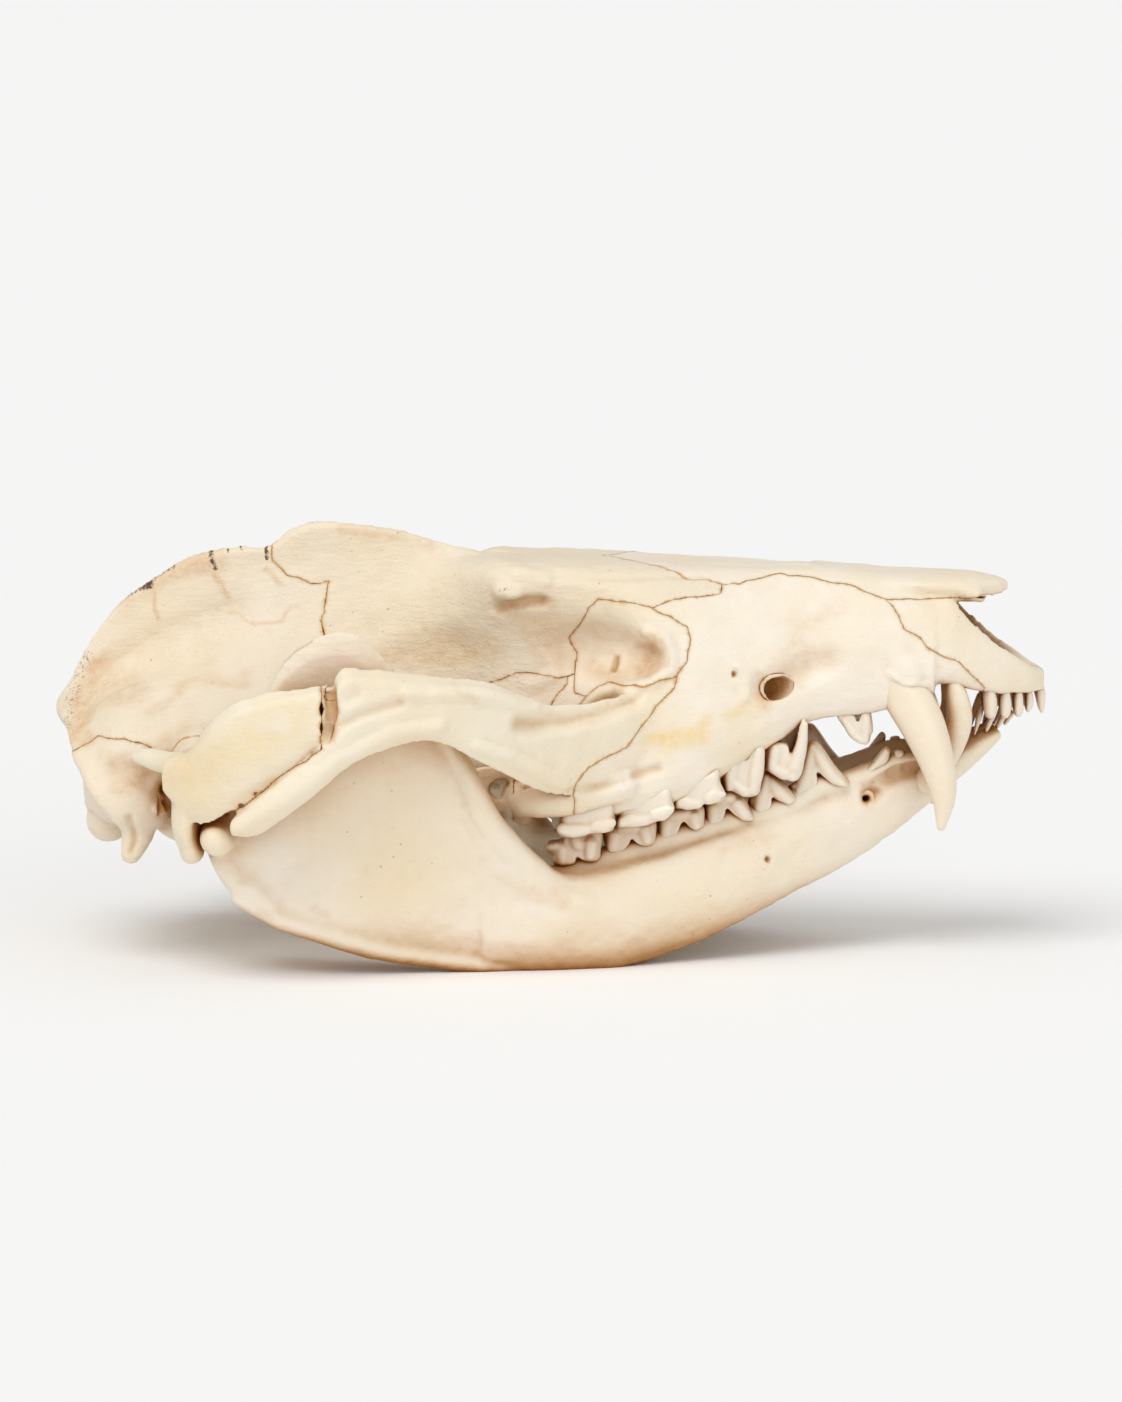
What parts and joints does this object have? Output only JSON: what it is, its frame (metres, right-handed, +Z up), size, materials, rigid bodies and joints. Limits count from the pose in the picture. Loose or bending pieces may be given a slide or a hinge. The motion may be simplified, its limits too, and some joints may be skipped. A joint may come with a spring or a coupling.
{
  "type": "opossum skull",
  "caption": "Life-size skull of an adult opossum with its lower jaw closed, for display, study or set dressing, resting on the lower jaw.",
  "frame": {"origin": "on the ground plane, under the middle of the bounding box, between the two lower jaw bones", "axes": "+X towards the snout, +Z up, -Y the animal's right side"},
  "size_m": [0.1297, 0.0706, 0.0558],
  "materials": {
    "bone": "dry degreased bone, satin, finely pored, with brown stain along the crest",
    "pale_bone": "dry degreased bone, satin, pale ivory",
    "warm_bone": "dry degreased bone, satin, a little more yellow",
    "ivory": "tooth enamel, glossy, ivory yellow towards the root"
  },
  "bodies": {
    "root": {"parietal": "bone", "frontal": "bone", "occipital": "bone", "skull_base": "bone", "nasals": "pale_bone", "premaxilla_right": "pale_bone", "premaxilla_left": "pale_bone", "maxilla_right": "pale_bone", "maxilla_left": "pale_bone", "lacrimal_right": "pale_bone", "lacrimal_left": "pale_bone", "jugal_right": "pale_bone", "jugal_left": "pale_bone", "squamosal_right": "warm_bone", "squamosal_left": "warm_bone", "lower_jaw_right": "pale_bone", "lower_jaw_left": "pale_bone", "canine_upper_right": "ivory", "canine_upper_left": "ivory", "canine_lower_right": "ivory", "canine_lower_left": "ivory"}
  },
  "joints": []
}
